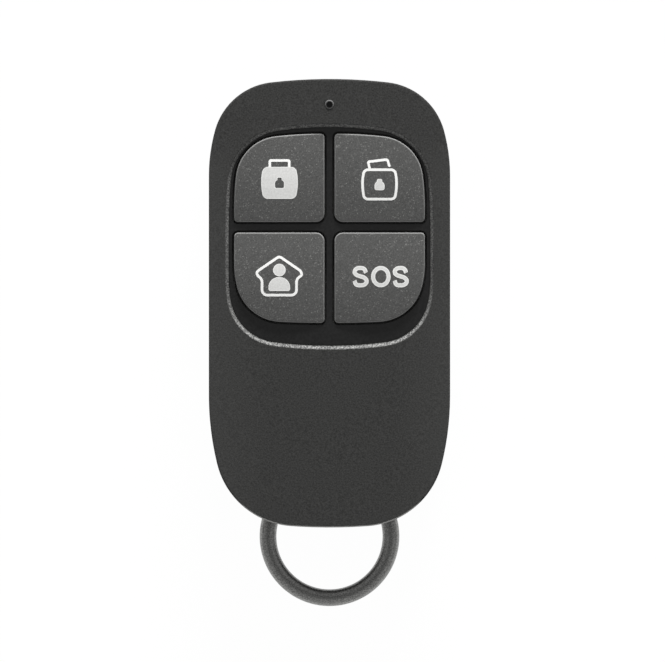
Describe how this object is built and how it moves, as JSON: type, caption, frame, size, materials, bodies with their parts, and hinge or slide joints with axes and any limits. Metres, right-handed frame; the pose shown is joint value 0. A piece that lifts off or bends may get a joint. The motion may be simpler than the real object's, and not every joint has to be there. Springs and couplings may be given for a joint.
{
  "type": "alarm key fob",
  "caption": "Flat lozenge radio key fob for an alarm, with a block of push keys in a sunk black surround, a small status light and a round wire loop at the end.",
  "frame": {"origin": "centre of the case's outline on its flat back face", "axes": "+Z out of the front face, +Y along the length towards the status light and away from the wire loop, +X to the right when the keys are read upright"},
  "size_m": [0.0312, 0.0682, 0.0095],
  "materials": {
    "case_plastic": "fine spark-eroded grain, matt charcoal",
    "surround_plastic": "smooth matt black",
    "key_plastic": "satin dark grey with a fine metallic fleck",
    "loop_steel": "satin dark grey coat",
    "light_pipe_plastic": "clear, smoked nearly black",
    "screw_steel": "black zinc",
    "board_laminate": "green solder mask",
    "copper": "bare copper",
    "cell_steel": "nickel-plated can",
    "contact_steel": "plated spring sheet",
    "switch_plastic": "black moulded base",
    "switch_steel": "bright sheet",
    "plunger_plastic": "off-white",
    "component_plastic": "black epoxy",
    "component_ceramic": "fired ceramic",
    "resonator_steel": "plated can",
    "lamp_resin": "clear resin"
  },
  "bodies": {
    "case": {"front_cover": "case_plastic", "rear_cover": "case_plastic", "key_surround": "surround_plastic", "circuit_board": "board_laminate", "aerial": "copper", "coin_cell": "cell_steel", "positive_contact": "contact_steel", "negative_contact": "contact_steel", "encoder_chip": "component_plastic", "resonator": "resonator_steel", "radio_transistor": "component_plastic", "capacitors": "component_ceramic", "resistors": "component_plastic", "status_lamp": "lamp_resin", "light_pipe": "light_pipe_plastic", "board_screws": "screw_steel", "case_screw": "screw_steel", "arm_switch": "switch_plastic", "arm_switch_cover": "switch_steel", "disarm_switch": "switch_plastic", "disarm_switch_cover": "switch_steel", "stay_switch": "switch_plastic", "stay_switch_cover": "switch_steel", "panic_switch": "switch_plastic", "panic_switch_cover": "switch_steel"},
    "loop": {"wire_loop": "loop_steel"},
    "arm_key_body": {"arm_key": "key_plastic", "arm_plunger": "plunger_plastic"},
    "disarm_key_body": {"disarm_key": "key_plastic", "disarm_plunger": "plunger_plastic"},
    "stay_key_body": {"stay_key": "key_plastic", "stay_plunger": "plunger_plastic"},
    "panic_key_body": {"panic_key": "key_plastic", "panic_plunger": "plunger_plastic"}
  },
  "joints": [
    {"name": "arm_press", "type": "slide", "parent": "case", "child": "arm_key_body", "axis": [0, 0, -1], "range_m": [0, 0.0003], "stiffness_N_per_m": 3000},
    {"name": "disarm_press", "type": "slide", "parent": "case", "child": "disarm_key_body", "axis": [0, 0, -1], "range_m": [0, 0.0003], "stiffness_N_per_m": 3000},
    {"name": "stay_press", "type": "slide", "parent": "case", "child": "stay_key_body", "axis": [0, 0, -1], "range_m": [0, 0.0003], "stiffness_N_per_m": 3000},
    {"name": "panic_press", "type": "slide", "parent": "case", "child": "panic_key_body", "axis": [0, 0, -1], "range_m": [0, 0.0003], "stiffness_N_per_m": 3000},
    {"name": "loop_turn", "type": "hinge", "parent": "case", "child": "loop", "pos_m": [0, -0.03019, 0.0042], "axis": [0, 0, 1], "continuous": true}
  ]
}
